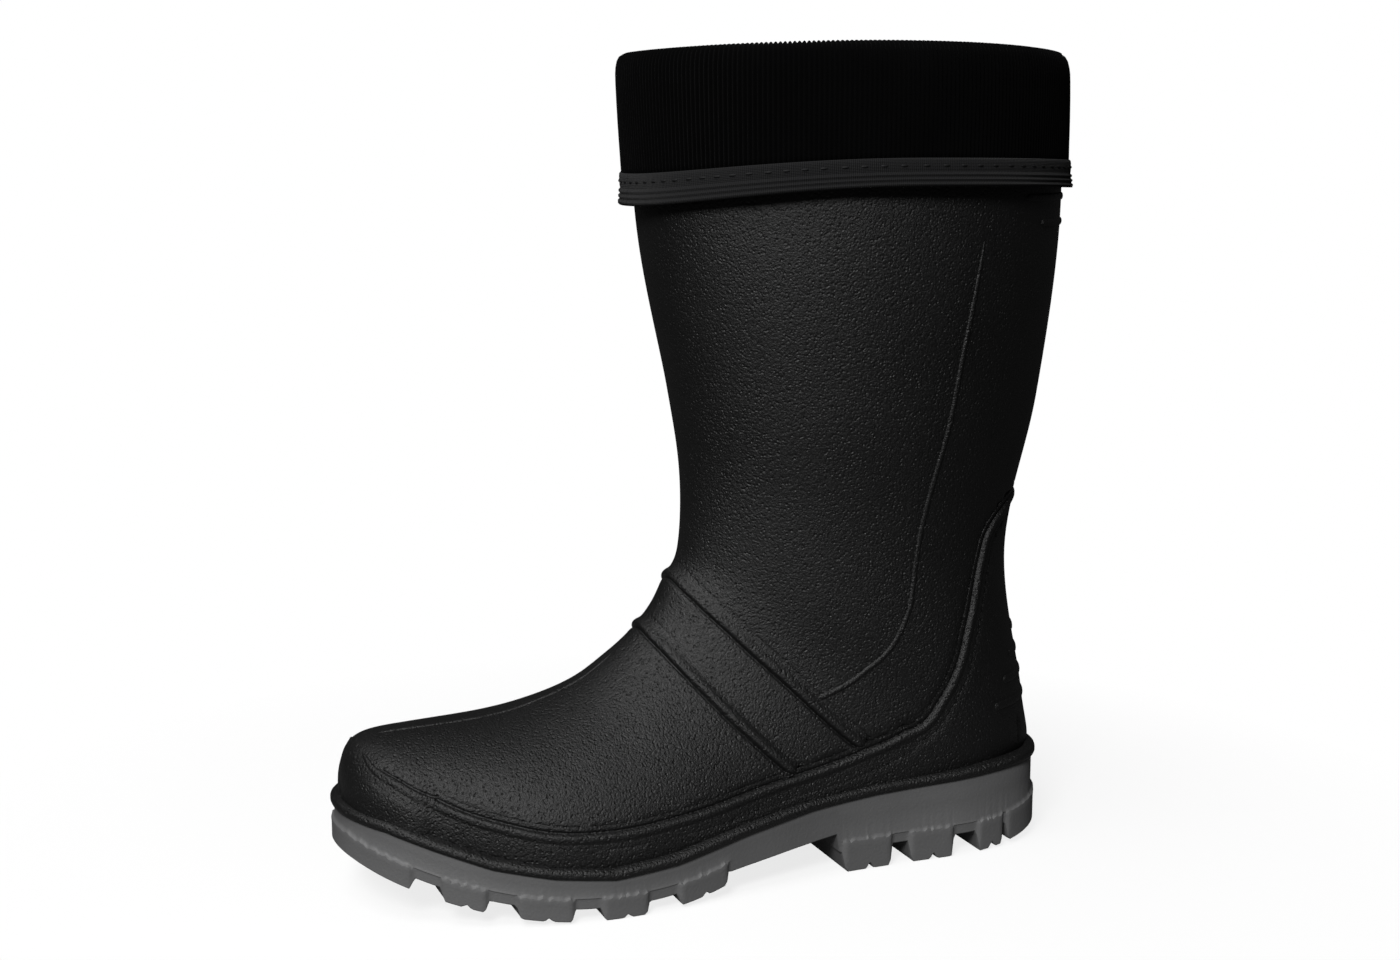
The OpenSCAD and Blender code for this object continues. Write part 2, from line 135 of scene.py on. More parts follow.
def section(u, depth):
    """The section at u, with its skin moved in by depth; past the last row the toe closes."""
    v = np.minimum(u, LAST)
    c = spline(SECTIONS, v).copy()
    a = spline(SECTIONS, np.clip(v - 0.05, 0, LAST))
    b = spline(SECTIONS, np.clip(v + 0.05, 0, LAST))
    under = depth + (FOOTBED * ease(5, 7, v) if depth > 0 else 0)
    c[..., 0:2] -= depth * left_of(a[..., 0:2], b[..., 0:2])
    c[..., 2:4] += np.asarray(under)[..., None] * left_of(a[..., 2:4], b[..., 2:4])
    c[..., 4:6] -= depth
    k = np.sin(np.radians(88.5 * np.clip(u - LAST, 0, 1)))
    wide = np.sqrt(1 - k * k)
    high = (1 - k ** 5) ** 0.25
    middle = mix(c[..., 3], c[..., 1], 0.35)
    toe = c.copy()
    toe[..., 0] = mix(c[..., 0], TOE_S - depth, k)
    toe[..., 1] = middle + (c[..., 1] - 1.5 * k - middle) * high
    toe[..., 2] = toe[..., 0]
    toe[..., 3] = middle - (middle - c[..., 3] - 4 * k) * high
    toe[..., 4:6] *= wide[..., None]
    return np.where((u > LAST)[..., None], toe, c)


def skin(u, angle, depth=0.0):
    """A point of the skin; angle is in degrees from the front over the outer side."""
    u, angle = np.broadcast_arrays(np.asarray(u, float), np.asarray(angle, float))
    c = section(u, depth)
    cos = np.cos(np.radians(angle))
    sin = np.sin(np.radians(angle))
    power = 2 / np.where(cos >= 0, c[..., 7], c[..., 8])
    q = np.abs(cos) ** power
    w = np.abs(sin) ** power
    h = np.where(cos >= 0, c[..., 6] + (1 - c[..., 6]) * q, c[..., 6] * (1 - q))
    x = np.where(sin >= 0, c[..., 4], -c[..., 5]) * w
    s = mix(c[..., 2], c[..., 0], h)
    z = mix(c[..., 3], c[..., 1], h)
    return np.stack([x, CENTRE_S - s, z], -1)


def slopes(u, angle, depth=0.0):
    """How the skin moves with u and with the angle, and its outward normal."""
    along = (skin(u + 0.01, angle, depth) - skin(np.maximum(u - 0.01, 0), angle, depth)) / 0.02
    around = (skin(u, angle + 0.25, depth) - skin(u, angle - 0.25, depth)) / 0.5
    normal = np.cross(along, around)
    normal /= np.maximum(np.linalg.norm(normal, axis=-1), 1e-9)[..., None]
    return along, around, normal


# ---------------------------------------------------------------- meshes
def grid_faces(rows, columns, first=0, closed=False, flip=False):
    """Quads over a grid of vertices numbered row by row."""
    r = np.arange(rows - 1)[:, None]
    c = np.arange(columns if closed else columns - 1)[None, :]
    n = (c + 1) % columns
    quads = [r * columns + c, r * columns + n, (r + 1) * columns + n, (r + 1) * columns + c]
    quads = np.stack([q.ravel() for q in quads], -1) + first
    return quads[:, ::-1] if flip else quads


def flat_list(parts):
    faces = []
    for part in parts:
        faces += part.tolist() if isinstance(part, np.ndarray) else part
    return faces


def make_piece(name, points, faces, material, body, nodes, crease=None, weave=None):
    """A mesh piece from points in millimetres, riding on a body and standing for CAD nodes."""
    mesh = bpy.data.meshes.new(name)
    mesh.from_pydata((np.asarray(points) * MM).tolist(), [], flat_list(faces))
    mesh.validate()
    mesh.polygons.foreach_set("use_smooth", np.ones(len(mesh.polygons), bool))
    if crease is not None:
        mesh.set_sharp_from_angle(angle=math.radians(crease))
    if weave is not None:
        layer = mesh.attributes.new("weave", "FLOAT_VECTOR", "POINT")
        full = np.zeros((len(mesh.vertices), 3))
        full[:, :2] = weave
        layer.data.foreach_set("vector", full.ravel())
    mesh.materials.append(material)
    piece = bpy.data.objects.new(name, mesh)
    bpy.context.scene.collection.objects.link(piece)
    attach(piece, body)
    if nodes:
        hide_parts(*nodes)
    return piece


# ---------------------------------------------------------------- materials
class Nodes:
    """Short calls for building one procedural material."""

    def __init__(self, name):
        self.material = bpy.data.materials.new(name)
        self.material.use_nodes = True
        self.tree = self.material.node_tree
        self.bsdf = self.tree.nodes["Principled BSDF"]

    def add(self, kind, **values):
        node = self.tree.nodes.new(kind)
        for key, value in values.items():
            if key in node.inputs:
                node.inputs[key].default_value = value
            else:
                setattr(node, key, value)
        return node

    def join(self, output, target):
        self.tree.links.new(output, target)

    def coordinates(self):
        return self.add("ShaderNodeTexCoord").outputs["Object"]

    def noise(self, scale, detail=3.0, roughness=0.55, vector=None):
        node = self.add("ShaderNodeTexNoise", Scale=scale, Detail=detail, Roughness=roughness)
        self.join(vector or self.coordinates(), node.inputs["Vector"])
        return node.outputs["Fac"]

    def cells(self, scale, smooth=0.6):
        node = self.add("ShaderNodeTexVoronoi", feature="SMOOTH_F1")
        node.inputs["Scale"].default_value = scale
        node.inputs["Smoothness"].default_value = smooth
        self.join(self.coordinates(), node.inputs["Vector"])
        return node.outputs["Distance"]

    def math(self, operation, a, b=None):
        node = self.add("ShaderNodeMath", operation=operation)
        for socket, value in zip(node.inputs, (a, b)):
            if value is None:
                continue
            if isinstance(value, (int, float)):
                socket.default_value = value
            else:
                self.join(value, socket)
        return node.outputs[0]

    def spread(self, value, low, high, to_low=0.0, to_high=1.0):
        node = self.add("ShaderNodeMapRange", clamp=True)
        self.join(value, node.inputs["Value"])
        for key, number in zip(("From Min", "From Max", "To Min", "To Max"),
                               (low, high, to_low, to_high)):
            node.inputs[key].default_value = number
        return node.outputs["Result"]

    def blend(self, factor, dark, light):
        node = self.add("ShaderNodeMix", data_type="RGBA")
        self.join(factor, node.inputs["Factor"])
        for key, colour in (("A", dark), ("B", light)):
            socket = [s for s in node.inputs if s.name == key and s.type == "RGBA"][0]
            if isinstance(colour, tuple):
                socket.default_value = (*colour, 1)
            else:
                self.join(colour, socket)
        return [s for s in node.outputs if s.type == "RGBA"][0]

    def bump(self, height, depth, strength=1.0, below=None):
        node = self.add("ShaderNodeBump", Strength=strength, Distance=depth)
        self.join(height, node.inputs["Height"])
        if below is not None:
            self.join(below, node.inputs["Normal"])
        return node.outputs["Normal"]

    def finish(self, colour, roughness, normal, **sockets):
        self.join(colour, self.bsdf.inputs["Base Color"])
        if isinstance(roughness, float):
            self.bsdf.inputs["Roughness"].default_value = roughness
        else:
            self.join(roughness, self.bsdf.inputs["Roughness"])
        self.join(normal, self.bsdf.inputs["Normal"])
        for key, value in sockets.items():
            self.bsdf.inputs[key.replace("_", " ")].default_value = value
        return self.material


def shell_foam():
    """Moulded EVA foam: near-black, semi-matte, fine pebble grain with tiny pits."""
    n = Nodes("shell_foam")
    grain = n.noise(1000, 3.0, 0.7)
    pits = n.spread(n.cells(620), 0.10, 0.36)
    cloud = n.noise(26, 3.0)
    dust = n.spread(n.noise(1900, 2.0), 0.60, 0.78)
    base = n.blend(cloud, (0.0004, 0.0004, 0.0004), (0.0009, 0.0009, 0.0009))
    colour = n.blend(n.math("MULTIPLY", dust, 0.2), base, (0.010, 0.010, 0.0105))
    rough = n.spread(n.math("ADD", grain, n.math("MULTIPLY", cloud, 0.6)), 0.5, 1.1, 0.43, 0.55)
    height = n.math("ADD", grain, n.math("MULTIPLY", pits, 0.45))
    normal = n.bump(height, 0.00070, 0.85)
    return n.finish(colour, rough, normal, Specular_IOR_Level=0.46)


def sole_rubber():
    """Grey moulded rubber: smooth wall, grainy where the tool was eroded."""
    n = Nodes("sole_rubber")
    grain = n.noise(900, 3.0, 0.6)
    cloud = n.noise(34, 4.0)
    colour = n.blend(cloud, (0.083, 0.083, 0.084), (0.108, 0.108, 0.109))
    speck = n.spread(n.noise(1500, 2.0), 0.62, 0.75)
    colour = n.blend(n.math("MULTIPLY", speck, 0.25), colour, (0.16, 0.16, 0.16))
    rough = n.spread(grain, 0.3, 0.7, 0.52, 0.68)
    return n.finish(colour, rough, n.bump(grain, 0.00030, 0.5), Specular_IOR_Level=0.35)


def corduroy():
    """Black corduroy: the wales are geometry, the pile is grain, sheen and broken tone."""
    n = Nodes("corduroy")
    pile = n.noise(2300, 3.0, 0.7)
    cloud = n.noise(45, 4.0)
    colour = n.blend(n.math("MULTIPLY", pile, cloud), (0.0002, 0.0002, 0.0002), (0.0020, 0.0020, 0.0021))
    normal = n.bump(pile, 0.00035, 0.7)
    return n.finish(colour, 0.95, normal, Specular_IOR_Level=0.03, Sheen_Weight=0.012,
                    Sheen_Roughness=0.45, Sheen_Tint=(0.8, 0.8, 0.82, 1))


def stripes(n, axis, pitch):
    """A wave from 0 to 1 with the given pitch in millimetres along one weave axis."""
    split = n.add("ShaderNodeSeparateXYZ")
    n.join(n.add("ShaderNodeAttribute", attribute_name="weave").outputs["Vector"], split.inputs[0])
    turn = n.math("MULTIPLY", split.outputs[axis], 2 * math.pi / pitch)
    return n.math("MULTIPLY_ADD", n.math("SINE", turn), 0.5)


def woven_tape(name, dark, light, across=0.75, along=0.55, depth=0.00025):
    """Grosgrain tape with ribs across it and finer threads along it; its colour carries painted shade in
    the weave's grooves and painted highlight on its crests.
    """
    n = Nodes(name)
    ribs = stripes(n, 0, across)
    threads = stripes(n, 1, along)
    fuzz = n.noise(1800, 3.0)
    weave = n.math("ADD", ribs, n.math("MULTIPLY", threads, 0.45))
    height = n.math("ADD", weave, n.math("MULTIPLY", fuzz, 0.7))
    # The tone follows the weave height: painted shade in the grooves between ribs and threads, painted
    # highlight on their crests. The fuzz noise adds random tone.
    tone = n.spread(height, 0.1, 1.7)
    return n.finish(n.blend(tone, dark, light), 0.85, n.bump(height, depth, 0.8),
                    Specular_IOR_Level=0.12, Sheen_Weight=0.03, Sheen_Roughness=0.5)


def liner_felt():
    """Needled wool felt: warm grey, mottled, with a matted fibre surface."""
    n = Nodes("liner_felt")
    fibres = n.noise(1100, 6.0, 0.75)
    tufts = n.noise(260, 4.0, 0.6)
    cloud = n.noise(22, 3.0)
    tone = n.math("ADD", n.math("MULTIPLY", tufts, 0.5), n.math("MULTIPLY", cloud, 0.5))
    colour = n.blend(n.spread(tone, 0.3, 0.7), (0.42, 0.40, 0.36), (0.62, 0.60, 0.55))
    dark = n.spread(n.noise(1700, 2.0), 0.60, 0.70)
    colour = n.blend(n.math("MULTIPLY", dark, 0.4), colour, (0.16, 0.15, 0.14))
    height = n.math("ADD", fibres, n.math("MULTIPLY", tufts, 1.3))
    return n.finish(colour, 0.95, n.bump(height, 0.0009, 0.8), Specular_IOR_Level=0.12,
                    Sheen_Weight=0.35, Sheen_Roughness=0.6)


def thread():
    """Twisted sewing thread."""
    n = Nodes("thread")
    twist = n.noise(2600, 2.0)
    colour = n.blend(twist, (0.0015, 0.0015, 0.0016), (0.008, 0.008, 0.0085))
    return n.finish(colour, 0.7, n.bump(twist, 0.0002, 0.6), Specular_IOR_Level=0.2)


def plain_stage():
    """A floor that is only there near the boot, enough to take a faint shadow."""
    n = Nodes("stage")
    tone = n.noise(3.0, 2.0)
    colour = n.blend(tone, (0.86, 0.86, 0.86), (0.88, 0.88, 0.88))
    n.finish(colour, 0.9, n.bump(tone, 0.0001, 0.1), Specular_IOR_Level=0.1)
    far = n.add("ShaderNodeVectorMath", operation="LENGTH")
    n.join(n.coordinates(), far.inputs[0])
    both = n.add("ShaderNodeMixShader")
    n.join(n.spread(far.outputs["Value"], 0.10, 0.34, 0.2, 0.0), both.inputs[0])
    n.join(n.add("ShaderNodeBsdfTransparent").outputs[0], both.inputs[1])
    n.join(n.bsdf.outputs[0], both.inputs[2])
    output = [x for x in n.tree.nodes if x.type == "OUTPUT_MATERIAL"][0]
    n.join(both.outputs[0], output.inputs["Surface"])
    return n.material


# ---------------------------------------------------------------- lines moulded on the shell
def mirrored(path):
    """A path that starts on the centre line, carried on over the other side."""
    other = [[u, -a] for u, a in path[:0:-1]]
    return other + [list(p) for p in path]


def trace(path, step=1.0):
    """Evenly spaced (u, angle) places along a smooth line through the path."""
    table = np.array(path, float)
    fine = spline(table, np.linspace(0, len(table) - 1, 40 * len(table)))
    points = skin(fine[:, 0], fine[:, 1])
    run = np.concatenate([[0], np.cumsum(np.linalg.norm(np.diff(points, axis=0), axis=1))])
    even = np.linspace(0, run[-1], max(6, int(run[-1] / step)))
    return np.stack([np.interp(even, run, fine[:, k]) for k in (0, 1)], -1), even


def level_line(z, s_end, u_low, u_high):
    """Places round the back at one height, from s_end on one side to s_end on the other."""
    angles = np.linspace(95, 180, 120)
    us = np.linspace(u_low, u_high, 200)
    places = []
    for a in angles:
        p = skin(us, np.full(us.shape, a))
        u = np.interp(-z, -p[:, 2], us)
        s = CENTRE_S - skin(u, a)[1]
        if s <= s_end:
            places.append([u, a])
    half = places[::6] + [[places[-1][0], 180]]
    return half + [[u, 360 - a] for u, a in half[-2::-1]]


def ribbon(path, profile, taper=(0, 0), step=1.1):
    """A closed band swept along a line on the skin; profile rows are (across, height).
    Positive across is to the left of the line seen from outside. taper rounds off the two ends."""
    places, run = trace(path, step)
    u, a = places[:, 0], places[:, 1]
    along, around, normal = slopes(u, a)
    centre = skin(u, a)
    tangent = np.gradient(centre, axis=0)
    tangent /= np.linalg.norm(tangent, axis=1)[:, None]
    across = np.cross(normal, tangent)
    # the step in u and in angle that moves one millimetre across the line
    uu = (along * along).sum(1)
    aa = (around * around).sum(1)
    ua = (along * around).sum(1)
    bu = (along * across).sum(1)
    ba = (around * across).sum(1)
    det = uu * aa - ua * ua
    du = (bu * aa - ba * ua) / det
    da = (ba * uu - bu * ua) / det
    size = np.ones(len(run))
    for length, distance in ((taper[0], run), (taper[1], run[-1] - run)):
        if length:
            t = np.clip(distance / length, 0, 1)
            size *= np.sqrt(np.clip(1 - (1 - t) ** 2, 0.01, 1))
    rows = []
    for w, h in profile:
        uw = u + du * w * size
        aw = a + da * w * size
        p = skin(uw, aw)
        lift = h * size if h > 0 else np.full(len(run), h)
        rows.append(p + slopes(uw, aw)[2] * lift[:, None])
    points = np.stack(rows, 1)
    m = len(profile)
    faces = [grid_faces(len(run), m, closed=True)]
    ends = [list(range(m)), list(range((len(run) - 1) * m, len(run) * m))[::-1]]
    return points.reshape(-1, 3), faces + [ends], centre


def shifted(faces, first):
    return [f + first if isinstance(f, np.ndarray) else [[i + first for i in face] for face in f]
            for f in faces]


BURIED = -2.2


def closed_profile(top):
    """A visible top line (across, height), closed under the skin."""
    return [[top[0][0], BURIED]] + top + [[top[-1][0], BURIED]]


BAND_PROFILE = closed_profile([
    [-5.2, 0.04], [-4.0, 0.04], [-3.4, 0.0], [-3.0, -0.3], [-2.7, -0.75], [-2.35, -0.8],
    [-2.1, -0.35], [-1.85, 0.35], [-1.5, 0.9], [-1.0, 1.2], [-0.4, 1.3], [0.4, 1.2],
    [1.1, 0.95], [1.8, 0.6], [2.5, 0.3], [3.2, 0.12], [4.0, 0.05], [4.8, 0.04]])
FOXING_PROFILE = closed_profile([
    [-4.6, 0.5], [-3.4, 0.5], [-2.6, 0.5], [-2.2, 0.46], [-1.8, 0.62], [-1.3, 0.9], [-0.7, 1.1],
    [0.0, 1.2], [0.7, 1.05], [1.15, 0.7], [1.45, 0.0], [1.75, -0.55], [2.15, -0.62],
    [2.5, -0.25], [2.9, 0.03], [3.7, 0.04], [4.4, 0.04]])


def plain_bead(half, height):
    """A rounded bead of the given half-width and height, with no groove beside it."""
    turn = np.linspace(-90, 90, 9)
    top = [[half * math.sin(math.radians(t)), height * math.cos(math.radians(t)) - 0.02]
           for t in turn]
    return [[-half, BURIED]] + top + [[half, BURIED]]


RIB_PROFILE = closed_profile([
    [-3.1, 0.03], [-2.5, -0.02], [-2.2, -0.3], [-1.9, -0.1], [-1.6, 0.6], [-1.2, 0.95], [-0.5, 1.1],
    [0.5, 1.1], [1.2, 0.95], [1.6, 0.6], [1.9, -0.1], [2.2, -0.3], [2.5, -0.02], [3.1, 0.03]])


def shell_ribbons():
    """Every raised line of the shell: points, faces, and the centres of the grooved ones."""
    parts = []
    grooved = []
    whole = FOXING[:-1] + [[u, 360 - a] for u, a in FOXING[::-1]]
    band_edge = ribbon(whole, FOXING_PROFILE, taper=(34, 34))
    parts.append(band_edge)
    grooved.append((band_edge[2][16:-16], 3.8, 1.5))
    for path in (BAND_UPPER, BAND_LOWER):
        band = ribbon(mirrored(path), BAND_PROFILE, taper=(3, 3))
        parts.append(band)
        grooved.append((band[2], 4.0, 1.5))
    for side in (-1, 1):
        parts.append(ribbon([[u, side * a] for u, a in CALF_LINE], plain_bead(1.1, 0.7),
                            taper=(40, 2)))
    cap = CAP_LINE[::-1] + [[u, 360 - a] for u, a in CAP_LINE[1:]]
    parts.append(ribbon(cap, plain_bead(0.6, 0.4), taper=(4, 4)))
    parts.append(ribbon(TOE_RIDGE, plain_bead(1.0, 0.55), taper=(8, 30)))
    for z, s_end in HEEL_RIBS:
        parts.append(ribbon(level_line(z, s_end, 2.6, 5.6), RIB_PROFILE, taper=(2.4, 2.4), step=0.6))
    for z, s_end in LEG_BARS:
        parts.append(ribbon(level_line(z, s_end, 0.4, 1.4), plain_bead(1.5, 0.75), taper=(2, 2)))
    return parts, grooved


def panel_raise(u, angle, line):
    """Height of the foxing and heel counter over the vamp and leg, fading out at the toe."""
    a = np.abs((angle + 180) % 360 - 180)
    edge = np.array(FOXING, float)
    fine = spline(edge, np.linspace(0, len(edge) - 1, 400))[::-1]
    limit = np.interp(u, fine[:, 0], fine[:, 1])
    below = (a > limit) & (u > 2.6)
    return np.where(below, 0.5, 0.0) * ease(0.5, 3.5, line) * ease(40, 66, a)


def distances(points, line):
    tree = KDTree(len(line))
    for i, p in enumerate(line):
        tree.insert(Vector(p), i)
    tree.balance()
    return np.array([tree.find(Vector(p))[2] for p in points])


def tucked(points):
    """Pulls the low part of the skin in to the sole's outline, so that only the lip stands out."""
    p, _, out = sole_rim()
    tree = KDTree(len(p))
    for i, (x, y) in enumerate(p):
        tree.insert(Vector((x, y, 0)), i)
    tree.balance()
    moved = points.copy()
    s = CENTRE_S - points[:, 1]
    low = points[:, 2] < sole_top(s) + 16
    for i in np.nonzero(low)[0]:
        x, y, z = points[i]
        near = tree.find(Vector((x, y, 0)))[1]
        beyond = float(np.dot(points[i, :2] - p[near], out[near])) + 0.3
        if beyond > 0:
            share = 1 - ease(2, 16, z - sole_top(s[i]))
            moved[i, :2] -= out[near] * beyond * share
    return moved


SHELL_ROUND = 204


def shell_rings():
    leg = np.linspace(0, 2.6, 58)[:-1]
    foot = np.linspace(2.6, LAST, 140)[:-1]
    toe = LAST + np.linspace(0, 1, 30) ** 0.85
    return np.concatenate([leg, foot, toe])


def boot_shell(material):
    us = shell_rings()
    n = SHELL_ROUND
    angles = np.arange(n) * 360 / n
    u, a = (g.ravel() for g in np.meshgrid(us, angles, indexing="ij"))
    outer = skin(u, a)
    parts, grooved = shell_ribbons()
    lift = np.zeros(len(outer))
    for index, (line, reach, depth) in enumerate(grooved):
        d = distances(outer, line)
        if index == 0:
            lift += panel_raise(u, a, d)
        near = np.clip((reach + 0.8 - d) / 1.6, 0, 1)
        lift -= depth * near * near * (3 - 2 * near)
    side = np.abs((a + 180) % 360 - 180)
    cut = np.linalg.norm((outer - skin(SLOT[0], SLOT[1])) * [1, 1, 0.16], axis=1)
    other = np.linalg.norm((outer - skin(SLOT[0], -SLOT[1])) * [1, 1, 0.16], axis=1)
    lift -= 1.1 * (side > 100) * ease(1.5, 0.7, np.minimum(cut, other))
    outer = tucked(outer + slopes(u, a)[2] * lift[:, None])
    rows = len(us)
    tip = (outer[-n:]).mean(0)
    points = [outer, tip[None]]
    faces = [grid_faces(rows, n, closed=True, flip=False)]
    end = (rows - 1) * n
    faces.append([[end + (j + 1) % n, rows * n, end + j] for j in range(n)])
    count = rows * n + 1
    # the inner skin is smooth and plain, a third as dense, and starts at the rounded rim
    m = n // 3
    inner_us = np.concatenate([np.linspace(0, LAST, 60)[:-1], LAST + np.linspace(0, 1, 8)])
    iu, ia = (g.ravel() for g in np.meshgrid(inner_us, np.arange(m) * 360 / m, indexing="ij"))
    inner = skin(iu, ia, WALL)
    points.append(inner)
    points.append(inner[-m:].mean(0)[None])
    faces.append(grid_faces(len(inner_us), m, count, closed=True, flip=True))
    last_row = count + (len(inner_us) - 1) * m
    tip_inner = count + len(inner_us) * m
    faces.append([[last_row + j, tip_inner, last_row + (j + 1) % m] for j in range(m)])
    rim = []
    for j in range(m):
        k = count + j
        nk = count + (j + 1) % m
        o = [3 * j, 3 * j + 1, 3 * j + 2, (3 * j + 3) % n]
        rim += [[o[1], o[0], k], [o[2], o[1], k], [nk, o[2], k], [o[3], o[2], nk]]
    faces.append(rim)
    count = tip_inner + 1
    for part_points, part_faces, _ in parts:
        points.append(part_points)
        faces += shifted(part_faces, count)
        count += len(part_points)
    lip_points, lip_faces = sole_ring([
        [-3.0, -0.3], [0.6, -0.3], [1.15, 0.0], [1.45, 0.7], [1.45, 1.8], [1.2, 2.5],
        [0.5, 3.1], [-0.5, 3.5], [-3.0, 3.8]])
    points.append(lip_points)
    faces += shifted(lip_faces, count)
    make_piece("shell_moulding", np.vstack(points), faces, material, "shell",
               ["boot_shell"], crease=42)


# ---------------------------------------------------------------- outsole
CLEAT_PROUD = 1.2
CLEAT_ROOF = 4.0


def outline_sides():
    """x of the outer and the inner edge for rows of s, closer together where the edge turns."""
    table = np.vstack([OUTLINE, OUTLINE[:1]])
    closed = np.vstack([OUTLINE[-1:], table, OUTLINE[1:2]])
    curve = spline(closed, 1 + np.linspace(0, len(OUTLINE), 4000))
    peak = int(np.argmax(curve[:, 1]))
    outer, inner = curve[:peak + 1], curve[peak:][::-1]
    run = np.concatenate([[0], np.cumsum(np.linalg.norm(np.diff(outer, axis=0), axis=1))])
    even = np.interp(np.arange(1.2, run[-1] - 1.0, 1.15), run, outer[:, 1])
    edges = [s + d for c in FORE_CLEATS + HEEL_CLEATS for s in c[:2] for d in (-0.45, 0.45)]
    edges += [mix(c[0], c[1], 0.52) + d for c in FORE_CLEATS + HEEL_CLEATS for d in (-1, 0, 1)]
    low, high = even[0], even[-1]
    rows = sorted(list(even) + [s for s in edges if low < s < high])
    kept = [rows[0]]
    for s in rows[1:]:
        if s - kept[-1] > 0.04:
            kept.append(s)
    s = np.array(kept)
    order = np.argsort(inner[:, 1])
    side_out = np.interp(s, np.maximum.accumulate(outer[:, 1]), outer[:, 0])
    side_in = np.interp(s, inner[order, 1], inner[order, 0])
    return s, side_out, side_in


def sole_top(s):
    return np.interp(s, SOLE_TOP[:, 0], SOLE_TOP[:, 1])


def ground(s):
    toe_spring = 0.0027 * np.maximum(0, s - 206) ** 2
    arch = 0.0042 * np.maximum(0, 194 - s) ** 2
    heel_bevel = 0.0035 * np.maximum(0, 50 - s) ** 2
    return np.where(s > 200, toe_spring, np.where(s > 110, arch, heel_bevel))


def roots(s):
    arch = mix(15.4, 9.6, (s - 110) / 47)
    return np.where(s > 157, ground(s) + 4.5, np.where(s > 107, arch, ground(s) + 8.5))


def block(s, start, stop, slope=0.9):
    """1 between start and stop, with drafted walls."""
    return np.clip((s - start) / slope + 0.5, 0, 1) * np.clip((stop - s) / slope + 0.5, 0, 1)


def cleat_mask(x, s):
    """1 under a cleat and 0 between cleats, with a small notch across each edge cleat."""
    mask = np.zeros(np.broadcast(x, s).shape)
    side = np.abs(x)
    for start, stop, reach in FORE_CLEATS + HEEL_CLEATS:
        inside = np.clip((side - reach) / 0.9 + 0.5, 0, 1) if reach else 1.0
        whole = block(s, start, stop, 1.6) * inside
        if stop - start < 25:
            middle = mix(start, stop, 0.46)
            notch = block(s, middle - 0.9, middle + 0.9, 1.4) * 0.28
            whole = whole * (1 - notch)
        mask = np.maximum(mask, whole)
    for bars, reach, lean in ((FORE_BARS, 22, -7), (HEEL_BARS, 12, -4)):
        for start in bars:
            moved = s - lean * side / reach
            bar = block(moved, start, start + 8) * np.clip((reach + 1.5 - side) / 0.9, 0, 1)
            mask = np.maximum(mask, bar)
    return mask


def edge_mask(s):
    mask = np.zeros(len(s))
    for start, stop, _ in FORE_CLEATS + HEEL_CLEATS:
        mask = np.maximum(mask, block(s, start, stop, 1.6))
    return mask


ACROSS = 61


def sole_rim():
    """The edge of the sole as a closed ring: x, s and the outward direction of every point."""
    s, side_out, side_in = outline_sides()
    v = np.linspace(-1, 1, ACROSS)
    toe_x = mix(side_out[-1], side_in[-1], (1 - v[::-1][1:-1]) / 2)
    heel_x = mix(side_in[0], side_out[0], (v[1:-1] + 1) / 2)
    x = np.concatenate([side_out, toe_x, side_in[::-1], heel_x])
    ring_s = np.concatenate([s, np.full(ACROSS - 2, s[-1]), s[::-1], np.full(ACROSS - 2, s[0])])
    p = np.stack([x, CENTRE_S - ring_s], -1)
    # outward from a smoothed tangent, so the ends turn gently
    wide = 9
    ahead = np.roll(p, -wide, 0)
    behind = np.roll(p, wide, 0)
    t = ahead - behind
    out = np.stack([-t[:, 1], t[:, 0]], -1)
    out /= np.linalg.norm(out, axis=1)[:, None]
    out *= np.sign((out * (p - p.mean(0))).sum(1).mean())
    return p, ring_s, out


def sole_ring(profile):
    """A closed band round the sole; profile rows are (outwards, height over its upper edge)."""
    p, s, out = sole_rim()
    rows = [np.column_stack([p + out * o, sole_top(s) + h]) for o, h in profile]
    points = np.stack(rows, 0)
    k, n = points.shape[:2]
    faces = [grid_faces(k, n, closed=True)]
    last = (k - 1) * n
    faces.append([[last + j, last + (j + 1) % n, (j + 1) % n, j] for j in range(n)])
    return points.reshape(-1, 3), faces


